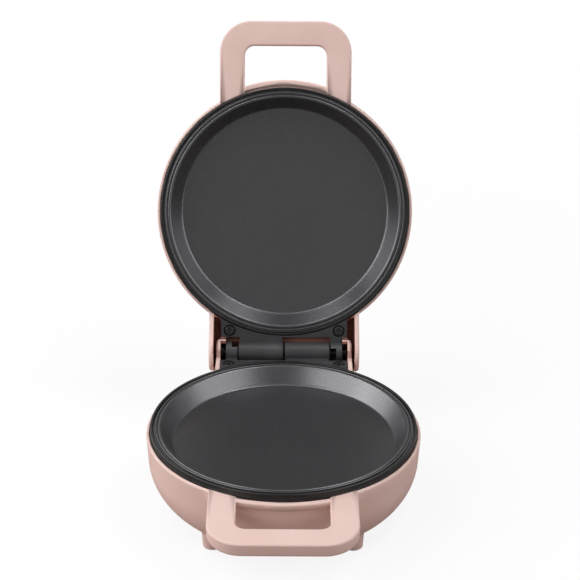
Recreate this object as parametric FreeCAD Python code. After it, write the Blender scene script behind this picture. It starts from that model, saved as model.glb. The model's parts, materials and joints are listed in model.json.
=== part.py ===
"""Round table-top pancake cooker with a hinged lid.

Two shallow pans sit in soft-edged plastic shells, each with a loop handle at the front, and a black
bracket and a steel pin join them at the back. The base is built hanging below a parting plane at z = 0,
with the pan's middle on the Z axis. The lid is built the same way, turned half a turn about Y, and swung
open about the hinge pin. Last of all the whole object moves so that its origin is the middle of its
bounding box on the surface it stands on. +X is right, +Y is back, +Z is up. All sizes are millimetres.
"""
import FreeCAD, Part
import math
import os

# Overall sizes
RIM_R = 70.0                # outside radius of the black rim ring
BARREL_R = 6.0              # outside radius of the hinge barrels
HINGE_Y = RIM_R + BARREL_R + 3.7    # hinge pin behind the pan's middle
OPEN_ANGLE = 108.6          # how far the lid is swung open at its stop
RIM_GAP = 0.5               # between the two rims when the lid is down
HANDLE_REACH = RIM_R + 36.8  # pan's middle to the front of a handle
BASE_DEPTH = 43.75          # parting plane to the bottom of the base shell
LID_DEPTH = 41.5            # parting plane to the crown of the lid shell
FOOT_DROP = 4.0             # resting face below the bottom of the base shell

# Shells
WALL = 2.4                  # shell wall
WALL_R = RIM_R + 1.3        # outside radius where the shoulder starts
LIP_R = RIM_R + 2.0         # outside radius at the lip
LIP_DROP = 3.3              # lip below the rim
LIP_ROUND = 1.1
LEDGE_DROP = 4.9            # ledge that carries the rim ring, below the rim
BASE_SHOULDER_DEPTH = 16.25
BASE_SHOULDER_R = 29.7
LID_SHOULDER_DEPTH = 13.5
LID_SHOULDER_R = 26.0

# Clearances
SNUG = 0.05                 # between pieces that are screwed or pressed together
LOOSE = 0.2                 # between pieces that drop into each other
PIN_FIT = 0.05              # running fit of the hinge pin, on the radius
SWING = 0.4                 # between what swings and what stands still

# Pan
PAN_DEPTH = 9.35            # rim to cooking floor
MOUTH_R = RIM_R - 6.2
FLOOR_R = MOUTH_R - 5.2
FLOOR_T = 2.5
FLANGE_DROP = 1.1           # groove between bead and rim ring, below the rim
FLANGE_T = 1.2
LAND_W = 1.5                # flat top of the rim ring
SPIGOT_T = 2.5
SPIGOT_DEPTH = 10.0

# Heater
COIL_R = 42.0               # middle radius of the heating tube
TUBE_R = 2.75
COIL_GAP_ANGLE = 25.0       # half the angle left open at the back
TUBE_BEND_R = 7.0
TUBE_TAIL = 3.0
COLD_PIN_R = 1.3
COLD_PIN_L = 6.0
RIB_T = 1.8
RIB_H = 3.6
BOSS_RING_R = 54.0
BOSS_R = 3.6
BOSS_ANGLES = (30.0, 150.0, 270.0)
SHEET_T = 0.6
REFLECTOR_R = 60.0
REFLECTOR_RIM = 4.5
ARM_W = 9.0
ARM_T = 2.0
HOOK_ANGLES = (0.0, 60.0, 120.0, 180.0, 240.0, 300.0)
HOOK_W = 9.0

# Handles
HANDLE_W = 73.7
OPENING_W = 46.0
HANDLE_BAR = 13.6
HANDLE_T = 7.4
HANDLE_CORNER_R = 17.5
OPENING_CORNER_R = 5.5
HANDLE_TILT = 1.6           # the handles lean away from each other
HANDLE_EDGE_TOP = 1.0
HANDLE_EDGE_BOTTOM = 2.2
LIP_BAR_R = LIP_R + 2.1     # outside of the bar between the handle's arms
LIP_BAR_T = 3.4
LIP_RELIEF = 1.1            # gap between the rim ring and that bar
COVER_T = 2.0

# Hinge
PIN_R = 2.0
BARREL_X = (0.5, 25.8)
EAR_X = (26.4, 32.8)
EAR_WALL = 3.2
EAR_LIP = 3.2
BRACKET_HALF_W = 35.8
BRACKET_DROP = 0.2          # bracket face below the rim
BRACKET_BACK = BARREL_R + 2.7    # back edge of the bracket's plate in front of the pin
BRACKET_FRONT = 29.7        # the plate's front edge in front of the pin, before the ring's arc is cut
TOWER_X = 38.3              # outside of the base's hinge towers
TOWER_WALL = 2.4
TOWER_CAP_T = 1.4             # cap over the room beside an ear
TOWER_R = BARREL_R + 1.4
TOWER_FRONT = BARREL_R      # front edge of a tower in front of the pin
CHEEK_GAP = 1.6             # tower to lid cheek
CHEEK_T = 2.6
CHEEK_ROUND = 1.6
CHEEK_WEB_Y = HINGE_Y - 19.2
TAIL_R = (BARREL_R + 2.0, BARREL_R + 4.5)    # inside and outside of the lid's rolled tail
TAIL_END = -15.0            # lowest angle of the tail about the pin, lid down
STOP_GAP = 1.5              # angle left between tail and stop
BRACKET_SCREW = (31.0, HINGE_Y - BRACKET_BACK - 3.7)
BRACKET_SCREW_L = 7.0
BRACKET_RECESS = 2.4
BLOCK_BACK = BARREL_R + 0.8  # back face of the rear block in front of the pin
BLOCK_DEPTH = 37.0

# Feet
FRONT_FOOT = (36.0, -44.0)
REAR_FOOT = (31.5, HINGE_Y - 13.7)
FOOT_R = 5.0
PAD_R = 3.8
PAD_T = 2.0
PAD_PROUD = 0.7

# Vents in the base's floor, in rows each side of a middle one
VENT_Y = -14.0
VENT_PITCH = 7.0
VENT_W = 2.4
VENT_ROWS = 2
VENT_HALF_L = 14.0

# Screws
SCREW_R = 1.45
HEAD_R = 2.8
HEAD_H = 1.9
SMALL_SCREW_R = 1.05
SMALL_HEAD_R = 2.0
SMALL_HEAD_H = 1.4
BOSS_WALL = 2.0             # wall of a screw post

# Electrical pieces
GLAND_R = 5.4
GLAND_FLANGE_R = 7.0
GLAND_BORE_R = 3.3
GLAND_DEPTH = 21.0          # gland's middle below the parting plane
GLAND_PROUD = 3.5
THERMOSTAT_R = 8.0
THERMOSTAT_H = 8.5
THERMOSTAT_PITCH = 24.0
FUSE_Y = -25.0
FUSE_SLEEVE_R = 2.6
FUSE_SLEEVE_L = 19.0
LEAD_R = 1.1
LEAD_DROP = 7.5             # how far a base lead runs down past its cold pin
LID_LEAD_DROP = 5.0
TERMINAL_PLACE = (0.0, 13.0)
TERMINAL_STAND = 3.0
TERMINAL_SIZE = (26.0, 13.0, 10.0)
TERMINAL_WAY_X = 9.0
TERMINAL_WAY_Z = 4.0
LENS_Y = -36.0
LENS_R = 4.0
LAMP_R = 5.0
LAMP_L = 7.0

# Worked out from the sizes above
HALF_GAP = RIM_GAP / 2
RIM_Z = -HALF_GAP
LIP_Z = RIM_Z - LIP_DROP
LEDGE_Z = RIM_Z - LEDGE_DROP
REBATE_R = RIM_R + 0.5
INNER_R = WALL_R - WALL
SPIGOT_R = INNER_R - LOOSE
FLANGE_R = RIM_R - LAND_W - LOOSE
PAN_FLOOR_Z = RIM_Z - PAN_DEPTH
PAN_UNDER_Z = PAN_FLOOR_Z - FLOOR_T
FLANGE_Z = RIM_Z - FLANGE_DROP
SEAT_Z = FLANGE_Z - FLANGE_T - SNUG
COIL_Z = PAN_UNDER_Z - TUBE_R - SNUG
BOSS_Z = PAN_UNDER_Z - 2 * TUBE_R - 0.4
REFLECTOR_Z = BOSS_Z - SNUG
ARM_Z = REFLECTOR_Z - SHEET_T - SNUG
BRACKET_Z = RIM_Z - BRACKET_DROP
DECK_Z = -BARREL_R - 0.15
REST_Z = -BASE_DEPTH - FOOT_DROP
CORE_R = TAIL_R[0] - SWING
THERMOSTAT_TOP_Z = PAN_UNDER_Z - 1.2 - SNUG
FLANGE_SEAT_Z = PAN_UNDER_Z - 2.6
FUSE_TAB_X = FUSE_SLEEVE_R + 3.8
FUSE_Z = PAN_UNDER_Z - FUSE_SLEEVE_R - SNUG
TERMINAL_Z = -BASE_DEPTH + WALL + TERMINAL_STAND
TERMINAL_H = min(TERMINAL_SIZE[2], THERMOSTAT_TOP_Z - THERMOSTAT_H - TERMINAL_Z - SNUG - 0.5)

# Where a shell is too shallow, the heating tube's tails and their leads are shortened to this share
TAIL_DROP = TUBE_BEND_R + TUBE_TAIL + COLD_PIN_L + LEAD_R
TAIL_SHARE = min(1.0, (BASE_DEPTH - WALL + COIL_Z - 1.5) / (TAIL_DROP + LEAD_DROP),
                 (LID_DEPTH - WALL + COIL_Z - 1.9) / (TAIL_DROP + LID_LEAD_DROP))


def vec(x, y, z):
    """A point or direction."""
    return FreeCAD.Vector(x, y, z)


def block(x0, x1, y0, y1, z0, z1):
    """A box between two corners."""
    return Part.makeBox(x1 - x0, y1 - y0, z1 - z0, vec(x0, y0, z0))


def rod_x(radius, x0, x1, y, z):
    """A cylinder along X."""
    return Part.makeCylinder(radius, x1 - x0, vec(x0, y, z), vec(1, 0, 0))


def rod_z(radius, x, y, z0, z1):
    """A cylinder along Z."""
    return Part.makeCylinder(radius, z1 - z0, vec(x, y, z0))


def polar(radius, angle):
    """X and Y of a point at an angle in degrees from +X."""
    return radius * math.cos(math.radians(angle)), radius * math.sin(math.radians(angle))


def about_pin(radius, angle):
    """Y and Z of a point at an angle about the hinge pin, 0 at the back and 90 on top."""
    y, z = polar(radius, angle)
    return HINGE_Y + y, z


def face_of(steps, place):
    """A flat face. A step is a point for a line, or a pair of points for an arc through the first."""
    here = steps[0]
    edges = []
    for step in steps[1:] + [steps[0]]:
        if isinstance(step[0], tuple):
            middle, end = step
            edges.append(Part.Arc(place(*here), place(*middle), place(*end)).toShape())
        else:
            end = step
            edges.append(Part.LineSegment(place(*here), place(*end)).toShape())
        here = end
    return Part.Face(Part.Wire(edges))


def turned(steps):
    """A solid turned about the Z axis from an outline of radius and height."""
    return face_of(steps, lambda r, z: vec(r, 0, z)).revolve(vec(0, 0, 0), vec(0, 0, 1), 360)


def across(steps, x0, x1):
    """A solid drawn in side view as Y and Z, and reaching from x0 to x1."""
    return face_of(steps, lambda y, z: vec(x0, y, z)).extrude(vec(x1 - x0, 0, 0))


def ring(r_in, r_out, z0, z1):
    """A flat ring about the Z axis."""
    return rod_z(r_out, 0, 0, z0, z1).cut(rod_z(r_in, 0, 0, z0 - 1, z1 + 1))


def spun(shape, angle):
    """A copy turned about the Z axis."""
    copy = shape.copy()
    copy.rotate(vec(0, 0, 0), vec(0, 0, 1), angle)
    return copy


def mirrored_pair(shape):
    """The shape and its mirror image in X."""
    return [shape, shape.mirror(vec(0, 0, 0), vec(1, 0, 0))]


def joined(shapes):
    """All shapes as one solid body."""
    result = shapes[0]
    if len(shapes) > 1:
        result = result.fuse(shapes[1:])
    return result.removeSplitter()


def arc_middle(centre, start, end):
    """The middle of the shorter arc between two points on a circle."""
    ax, ay = start[0] - centre[0], start[1] - centre[1]
    bx, by = end[0] - centre[0], end[1] - centre[1]
    length = math.hypot(ax + bx, ay + by)
    radius = math.hypot(ax, ay)
    return centre[0] + (ax + bx) / length * radius, centre[1] + (ay + by) / length * radius


def shell_curve(lid, inset):
    """Outline steps of a shell's side from its shoulder to the Z axis, drawn in by an inset."""
    if not lid:
        centre = (WALL_R - BASE_SHOULDER_R, -BASE_SHOULDER_DEPTH)
        radius = BASE_SHOULDER_R - inset
        bottom = -BASE_DEPTH + inset
        start = (centre[0] + radius, centre[1])
        end = (centre[0] + math.sqrt(radius ** 2 - (bottom - centre[1]) ** 2), bottom)
        return [start, (arc_middle(centre, start, end), end), (0, bottom)]
    centre = (WALL_R - LID_SHOULDER_R, -LID_SHOULDER_DEPTH)
    rise = LID_DEPTH - LID_SHOULDER_DEPTH
    crown_r = (centre[0] ** 2 + rise ** 2 - LID_SHOULDER_R ** 2) / (2 * (rise - LID_SHOULDER_R))
    crown = (0, crown_r - LID_DEPTH)
    radius = LID_SHOULDER_R - inset
    lean = math.atan2(centre[0] - crown[0], crown[1] - centre[1])
    meet = (crown[0] + (crown_r - inset) * math.sin(lean), crown[1] - (crown_r - inset) * math.cos(lean))
    half = ((crown_r - inset) * math.sin(lean / 2), crown[1] - (crown_r - inset) * math.cos(lean / 2))
    start = (centre[0] + radius, centre[1])
    return [start, (arc_middle(centre, start, meet), meet), (half, (0, -LID_DEPTH + inset))]


def back_along(steps):
    """The same outline steps walked the other way."""
    points = [step if not isinstance(step[0], tuple) else step[1] for step in steps]
    result = [points[-1]]
    for i in range(len(steps) - 1, 0, -1):
        arc = isinstance(steps[i][0], tuple)
        result.append((steps[i][0], points[i - 1]) if arc else points[i - 1])
    return result


def shell(lid):
    """The round bowl of a housing, open at the parting plane."""
    lip_corner = (LIP_R - LIP_ROUND, LIP_Z - LIP_ROUND)
    lip_start = (LIP_R - LIP_ROUND, LIP_Z)
    lip_end = (LIP_R, LIP_Z - LIP_ROUND)
    steps = [(REBATE_R, LIP_Z), lip_start, (arc_middle(lip_corner, lip_start, lip_end), lip_end)]
    steps += shell_curve(lid, 0)
    steps += back_along(shell_curve(lid, WALL))
    steps += [(INNER_R, LEDGE_Z), (REBATE_R, LEDGE_Z)]
    return turned(steps)


def interior(lid):
    """Everything inside a shell, and the room above it for the rim ring."""
    above = TAIL_R[1] + 10
    steps = [(0, above), (REBATE_R, above), (REBATE_R, LEDGE_Z), (INNER_R, LEDGE_Z)]
    steps += shell_curve(lid, WALL)
    return turned(steps)


def rounded_tongue(half_w, front, corner_r, z0, z1):
    """A plate from the pan's middle forwards, with two round front corners."""
    y = -front + corner_r
    x = half_w - corner_r
    right = arc_middle((x, y), (half_w, y), (x, -front))
    left = (-right[0], right[1])
    steps = [(-half_w, 0), (half_w, 0), (half_w, y), (right, (x, -front)), (-x, -front), (left, (-half_w, y))]
    return face_of(steps, lambda a, b: vec(a, b, z0)).extrude(vec(0, 0, z1 - z0))


def edges_at_height(shape, z, keep):
    """Edges of a shape that lie flat at a height and pass a test on their box."""
    found = []
    for edge in shape.Edges:
        box = edge.BoundBox
        if abs(box.ZMin - z) < 1e-4 and abs(box.ZMax - z) < 1e-4 and keep(box):
            found.append(edge)
    return found


def tilted(shape):
    """A handle piece leaned down about the lip."""
    copy = shape.copy()
    copy.rotate(vec(0, -LIP_R, LIP_Z), vec(1, 0, 0), HANDLE_TILT)
    return copy


def handle_parts():
    """The loop handle's solid, the hollow in it, its cover and the cover's screws."""
    top, bottom = LIP_Z, LIP_Z - HANDLE_T
    half_w, half_open = HANDLE_W / 2, OPENING_W / 2
    loop = rounded_tongue(half_w, HANDLE_REACH, HANDLE_CORNER_R, bottom, top)
    opening = rounded_tongue(half_open, HANDLE_REACH - HANDLE_BAR, OPENING_CORNER_R, bottom - 1, top + 1)
    loop = loop.cut(opening)
    past_bowl = lambda box: box.YMin < -1
    loop = loop.makeFillet(HANDLE_EDGE_TOP, edges_at_height(loop, top, past_bowl))
    loop = loop.makeFillet(HANDLE_EDGE_BOTTOM, edges_at_height(loop, bottom, past_bowl))

    def channel(gap, z0, z1):
        """The U-shaped room between the handle's walls, narrowed by a gap."""
        inset = WALL + gap
        outer = rounded_tongue(half_w - inset, HANDLE_REACH - inset, HANDLE_CORNER_R - inset, z0, z1)
        reach = HANDLE_REACH - HANDLE_BAR + inset
        inner = rounded_tongue(half_open + inset, reach, OPENING_CORNER_R + inset, z0 - 1, z1 + 1)
        return outer.cut(inner).cut(rod_z(LIP_BAR_R + 2 + gap, 0, 0, z0 - 1, z1 + 1))

    hollow = channel(0, bottom - 1, top - WALL)
    cover = channel(LOOSE, bottom, bottom + COVER_T)
    post_x = (half_w + half_open) / 2
    post_y = -(LIP_BAR_R + HANDLE_REACH) / 2
    for x in (-post_x, post_x):
        post = rod_z(SMALL_SCREW_R + 1.6, x, post_y, bottom + COVER_T + SNUG, top - 1)
        hollow = hollow.cut(post)
        hollow = hollow.fuse(rod_z(SMALL_SCREW_R + SNUG, x, post_y, bottom - 1, top - WALL))
        cover = cover.cut(rod_z(SMALL_SCREW_R + LOOSE, x, post_y, bottom - 1, bottom + COVER_T + 1))
        cover = cover.cut(rod_z(SMALL_HEAD_R + LOOSE, x, post_y, bottom - 1, bottom + SMALL_HEAD_H / 2))
    head_z = bottom + SMALL_HEAD_H / 2 - SNUG
    length = top - WALL - 0.35 - head_z
    screws = [screw(x, post_y, head_z, 1, SMALL_SCREW_R, length, SMALL_HEAD_R, SMALL_HEAD_H)
              for x in (-post_x, post_x)]
    return tilted(loop), tilted(hollow), tilted(cover), tilted(Part.makeCompound(screws))


def screw(x, y, seat_z, way, radius, length, head_r, head_h):
    """A cross-recess screw whose shank points up (way 1) or down (way -1) from its seat."""
    head = Part.makeCylinder(head_r, head_h, vec(x, y, seat_z), vec(0, 0, -way))
    rim = [e for e in head.Edges if abs(e.BoundBox.ZMin - (seat_z - way * head_h)) < 1e-6
           and abs(e.BoundBox.ZMax - (seat_z - way * head_h)) < 1e-6]
    head = head.makeFillet(head_h * 0.4, rim)
    shank = Part.makeCylinder(radius, length, vec(x, y, seat_z), vec(0, 0, way))
    body = head.fuse(shank)
    slot, depth = head_r * 0.3, head_h * 0.55
    far = seat_z - way * head_h
    low, high = min(far, far + way * depth) - 0.5 * (way > 0), max(far, far + way * depth) + 0.5 * (way < 0)
    for half_x, half_y in ((head_r * 0.62, slot / 2), (slot / 2, head_r * 0.62)):
        body = body.cut(block(x - half_x, x + half_x, y - half_y, y + half_y, low, high))
    return body.removeSplitter()


def lip_bar():
    """The bar between a handle's arms, just outside the rim ring."""
    bar = ring(INNER_R + 1, LIP_BAR_R, LIP_Z - LIP_BAR_T, LIP_Z)
    top = edges_at_height(bar, LIP_Z, lambda box: box.XLength > 2 * LIP_BAR_R - 1)
    bar = bar.makeFillet(HANDLE_EDGE_TOP, top)
    half = OPENING_W / 2 + 2
    return bar.common(block(-half, half, -LIP_BAR_R - 1, -LIP_R + 10, LIP_Z - LIP_BAR_T - 1, LIP_Z + 1))


def lip_relief():
    """The narrow gap cut between the rim ring and the bar."""
    half = OPENING_W / 2
    gap = ring(INNER_R, REBATE_R + LIP_RELIEF - 0.1, LIP_Z - 1.4, LIP_Z + 1)
    return gap.common(block(-half, half, -LIP_BAR_R - 1, 0, LIP_Z - 3, LIP_Z + 2))


def catches():
    """Small blocks inside a shell that the rim ring's hooks snap under."""
    z0 = -SPIGOT_DEPTH - 2.1
    one = block(SPIGOT_R - 0.9, INNER_R + 1, -HOOK_W / 2 - 1, HOOK_W / 2 + 1, z0, z0 + 1.4)
    return [spun(one, angle) for angle in HOOK_ANGLES]


def half_housing(lid, rear):
    """One housing: bowl, handle and what its rear holds, with the inside cleared."""
    loop, hollow, cover, screws = handle_parts()
    outside = joined([loop, lip_bar()] + rear)
    outside = outside.cut(interior(lid))
    housing = joined([shell(lid), outside])
    housing = housing.cut(hollow.cut(rod_z(LIP_BAR_R + 1, 0, 0, -BASE_DEPTH, 0)))
    housing = housing.cut(lip_relief())
    housing = joined([housing] + catches())
    return housing, cover, screws


def bracket_pocket():
    """Room for a hinge bracket's plate, and between the towers for its barrel and ear."""
    half = BRACKET_HALF_W + LOOSE
    back = HINGE_Y - BRACKET_BACK + LOOSE
    inner = EAR_X[1] + 0.3
    plate = block(-half, half, HINGE_Y - BRACKET_FRONT, back, DECK_Z, BARREL_R)
    return plate.fuse(block(-inner, inner, back - 1, HINGE_Y + TOWER_R, DECK_Z, BARREL_R))


def deck_outline():
    """Side view of the base's rear block: deck, open stop and back face."""
    stop = -180 + (180 - OPEN_ANGLE + TAIL_END) - STOP_GAP
    near = about_pin(CORE_R, stop)
    far = about_pin(TAIL_R[1], stop)
    back = HINGE_Y - BLOCK_BACK
    deck_back = HINGE_Y - math.sqrt(CORE_R ** 2 - DECK_Z ** 2)
    round_r = 5.0
    corner = (back - round_r, -BLOCK_DEPTH + round_r)
    low = (back - round_r, -BLOCK_DEPTH)
    side = (back, -BLOCK_DEPTH + round_r)
    return [(HINGE_Y - 45, DECK_Z), (deck_back, DECK_Z), near, far, (back, far[1] - 0.8), side,
            (arc_middle(corner, side, low), low), (HINGE_Y - 45, -BLOCK_DEPTH)]


def base_rear():
    """The base's rear block and the two towers that cap the hinge."""
    rear = across(deck_outline(), -TOWER_X, TOWER_X)
    front = HINGE_Y - TOWER_FRONT
    pieces = [rear]
    for side in (-1, 1):
        x0, x1 = sorted((side * (TOWER_X - TOWER_WALL), side * TOWER_X))
        pieces.append(block(x0, x1, HINGE_Y - 30, front, DECK_Z - 1, BRACKET_Z))
        cap0, cap1 = sorted((side * (EAR_X[1] + 0.3), side * TOWER_X))
        tower = rod_x(TOWER_R, cap0, cap1, HINGE_Y, 0)
        outer = [e for e in tower.Edges if abs(e.BoundBox.XMin - side * TOWER_X) < 1e-4
                 and abs(e.BoundBox.XMax - side * TOWER_X) < 1e-4]
        tower = tower.makeFillet(TOWER_WALL - 0.3, outer)
        heel = block(cap0, cap1, front, HINGE_Y, DECK_Z - 1.5, 0)
        tower = tower.fuse(heel.common(rod_x(CORE_R, cap0, cap1, HINGE_Y, 0)))
        wall_x = side * (TOWER_X - TOWER_WALL)
        in0, in1 = sorted((side * EAR_X[1], wall_x))
        inside = rod_x(TOWER_R - TOWER_CAP_T, in0, in1, HINGE_Y, 0)
        inside = inside.fuse(block(in0, in1, HINGE_Y - 20, HINGE_Y, DECK_Z, TOWER_R - TOWER_CAP_T))
        inside = inside.fuse(block(in0, in1, HINGE_Y - 20, HINGE_Y - 0.8, DECK_Z, TOWER_R + 1))
        tower = tower.cut(inside)
        tower = tower.cut(block(cap0 - 1, cap1 + 1, 0, front, BRACKET_Z, TOWER_R + 1))
        pieces.append(tower)
    return pieces


def rear_hollow():
    """The room inside the base's rear block, open to the bowl."""
    half = TOWER_X - TOWER_WALL
    back = HINGE_Y - BLOCK_BACK - TOWER_WALL
    return block(-half, half, HINGE_Y - 30, back, -BLOCK_DEPTH + WALL, DECK_Z - 2.8)


def screw_bosses(z0, z1):
    """Posts for the bracket's screws, one each side."""
    x, y = BRACKET_SCREW
    return mirrored_pair(rod_z(SCREW_R + BOSS_WALL, x, y, z0, z1))


def screw_holes(z0, z1):
    """Holes for the bracket's screws, one each side."""
    x, y = BRACKET_SCREW
    return mirrored_pair(rod_z(SCREW_R + SNUG, x, y, z0, z1))


def foot_posts():
    """The four posts moulded under the base."""
    bottom = REST_Z + PAD_PROUD
    posts = []
    for x, y in (FRONT_FOOT, REAR_FOOT):
        post = Part.makeCone(FOOT_R, FOOT_R + 1.2, 20.0, vec(x, y, bottom))
        foot = [e for e in post.Edges if e.BoundBox.ZMax < bottom + 1e-4]
        post = post.makeFillet(0.8, foot)
        posts += mirrored_pair(post)
    return posts


def make_base_housing():
    """The base housing, its handle cover and the cover's screws."""
    housing, cover, screws = half_housing(False, base_rear() + foot_posts())
    housing = housing.cut(rear_hollow())
    housing = housing.cut(bracket_pocket())
    bosses = screw_bosses(DECK_Z - 6, DECK_Z - 1)
    housing = joined([housing] + bosses)
    for hole in screw_holes(BRACKET_Z - BRACKET_RECESS - BRACKET_SCREW_L - 0.4, DECK_Z + 1):
        housing = housing.cut(hole)
    back = HINGE_Y - BLOCK_BACK
    gland = Part.makeCylinder(GLAND_R + SNUG, 20, vec(0, back - 15, -GLAND_DEPTH), vec(0, 1, 0))
    housing = housing.cut(gland)
    for x, y in pad_places():
        housing = housing.cut(rod_z(PAD_R + SNUG, x, y, REST_Z - 1, REST_Z + PAD_T + SNUG))
    for i in range(-VENT_ROWS, VENT_ROWS + 1):
        half = VENT_HALF_L - 2 * abs(i)
        y = VENT_Y + VENT_PITCH * i
        slot = block(-half, half, y - VENT_W / 2, y + VENT_W / 2, -BASE_DEPTH - 1, -BASE_DEPTH + WALL + 1)
        housing = housing.cut(slot)
    x, y = TERMINAL_PLACE
    post = rod_z(3.0, x, y, -BASE_DEPTH + WALL / 2, TERMINAL_Z)
    housing = joined([housing, post])
    return housing.cut(rod_z(SCREW_R + SNUG, x, y, TERMINAL_Z - 4, TERMINAL_Z + 1)), cover, screws


def pad_places():
    """X and Y of the four foot pads."""
    return [(side * x, y) for x, y in (FRONT_FOOT, REAR_FOOT) for side in (1, -1)]


def make_foot_pads():
    """Four rubber pads pressed into the posts."""
    pads = [rod_z(PAD_R, x, y, REST_Z, REST_Z + PAD_T) for x, y in pad_places()]
    return Part.makeCompound(pads)


def cheek_web(x0, x1, radius):
    """The sloping edge from the lip down to a cheek's disc, tangent to the disc."""
    reach = HINGE_Y - CHEEK_WEB_Y
    spread = math.degrees(math.acos(radius / math.hypot(reach, 1.0)))
    lean = math.degrees(math.atan2(-1.0, -reach)) % 360
    steps = [(CHEEK_WEB_Y, -1.0), about_pin(radius, lean - spread), (HINGE_Y, 0), (HINGE_Y, -5.0),
             (CHEEK_WEB_Y, -5.0)]
    web = across(steps, x0, x1)
    rims = [e for e in web.Edges if e.BoundBox.XLength < 1e-4 and e.BoundBox.ZMax > radius / 2
            and e.BoundBox.YMin < CHEEK_WEB_Y + 1e-4]
    return web.makeFillet(CHEEK_ROUND, rims)


def lid_rear():
    """The lid's cheeks and rolled tail, built upside down like the rest of the lid."""
    r_in, r_out = TAIL_R
    half = TOWER_X + CHEEK_GAP + CHEEK_T
    y_front = HINGE_Y - 32
    disc = rod_x(r_out, -half, half, HINGE_Y, 0)
    disc = disc.makeFillet(CHEEK_ROUND, [e for e in disc.Edges if e.BoundBox.XLength < 1e-4])
    front = block(-half, half, y_front, HINGE_Y, -r_out, -1.0)
    crown = [e for e in front.Edges if e.BoundBox.XLength < 1e-4 and e.BoundBox.ZMax < -r_out + 1e-4]
    front = front.makeFillet(CHEEK_ROUND, crown)
    body = disc.fuse([front, cheek_web(-half, half, r_out)])
    half_in = TOWER_X + CHEEK_GAP
    inside = rod_x(r_in, -half_in, half_in, HINGE_Y, 0)
    low = HINGE_Y - math.sqrt(r_in ** 2 - DECK_Z ** 2)
    inside = inside.fuse(block(-half_in, half_in, low, HINGE_Y, DECK_Z, r_out + 1))
    inside = inside.fuse(block(-half_in, half_in, HINGE_Y - 30, low + 2, -0.5, r_out + 1))
    inside = inside.fuse(block(-half_in, half_in, HINGE_Y - 12, HINGE_Y, 0, r_out + 1))
    wedge = [(HINGE_Y, 0), about_pin(r_out + 9, -TAIL_END), (HINGE_Y, r_out + 9)]
    inside = inside.fuse(across(wedge, -half_in, half_in))
    body = body.cut(inside)
    for side in (-1, 1):
        x0, x1 = sorted((side * (BRACKET_HALF_W + LOOSE), side * half_in))
        body = body.cut(block(x0, x1, HINGE_Y - 20, HINGE_Y, -TAIL_R[0], 2))
    return [body]


def make_lid_housing():
    """The lid housing upside down, its handle cover and the cover's screws."""
    housing, cover, screws = half_housing(True, lid_rear())
    housing = housing.cut(bracket_pocket())
    for hole in screw_holes(BRACKET_Z - BRACKET_RECESS - BRACKET_SCREW_L - 0.4, DECK_Z + 1):
        housing = housing.cut(hole)
    housing = housing.cut(rod_z(LENS_R + SNUG, 0, LENS_Y, -LID_DEPTH - 5, -LID_DEPTH + 12))
    return housing, cover, screws


def make_rim_ring():
    """The black ring round a pan, with a spigot, hooks that snap into the shell, and arms."""
    edge = 0.4
    corner = (RIM_R - edge, RIM_Z - edge)
    start, end = (RIM_R - edge, RIM_Z), (RIM_R, RIM_Z - edge)
    steps = [(RIM_R - LAND_W, RIM_Z), start, (arc_middle(corner, start, end), end),
             (RIM_R, LEDGE_Z + SNUG), (SPIGOT_R, LEDGE_Z + SNUG), (SPIGOT_R, -SPIGOT_DEPTH),
             (SPIGOT_R - SPIGOT_T, -SPIGOT_DEPTH), (SPIGOT_R - SPIGOT_T, SEAT_Z), (RIM_R - LAND_W, SEAT_Z)]
    body = turned(steps)
    pieces = [body]
    leg_in = SPIGOT_R - SPIGOT_T + 0.2
    leg_out = SPIGOT_R - 1.2
    z_barb = -SPIGOT_DEPTH - 2.3
    for angle in HOOK_ANGLES:
        leg = block(leg_in, leg_out, -HOOK_W / 2, HOOK_W / 2, z_barb - 2.4, -SPIGOT_DEPTH + 0.5)
        nose = [(leg_out - 0.5, z_barb), (leg_out + 0.9, z_barb), (leg_out, z_barb - 2.4),
                (leg_out - 0.5, z_barb - 2.4)]
        barb = face_of(nose, lambda r, z: vec(r, -HOOK_W / 2, z)).extrude(vec(0, HOOK_W, 0))
        pieces += [spun(leg, angle), spun(barb, angle)]
    x_in, x_out = BOSS_RING_R - BOSS_R, SPIGOT_R - 1.7
    for angle in BOSS_ANGLES:
        upright = block(x_out - 2.6, x_out, -ARM_W / 2, ARM_W / 2, ARM_Z - ARM_T, -SPIGOT_DEPTH + 3)
        shelf = block(x_in, x_out, -ARM_W / 2, ARM_W / 2, ARM_Z - ARM_T, ARM_Z)
        arm = upright.fuse(shelf).cut(rod_z(SCREW_R + LOOSE, BOSS_RING_R, 0, ARM_Z - 9, ARM_Z + 9))
        pieces.append(spun(arm, angle))
    return joined(pieces)


def tail_room(z0, z1):
    """The room at the back where the heating tube's two ends turn down."""
    x, y = polar(COIL_R, 90 + COIL_GAP_ANGLE)
    return block(x - 1.5, -x + 1.5, y - 3.2, COIL_R + 6, z0, z1)


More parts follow.
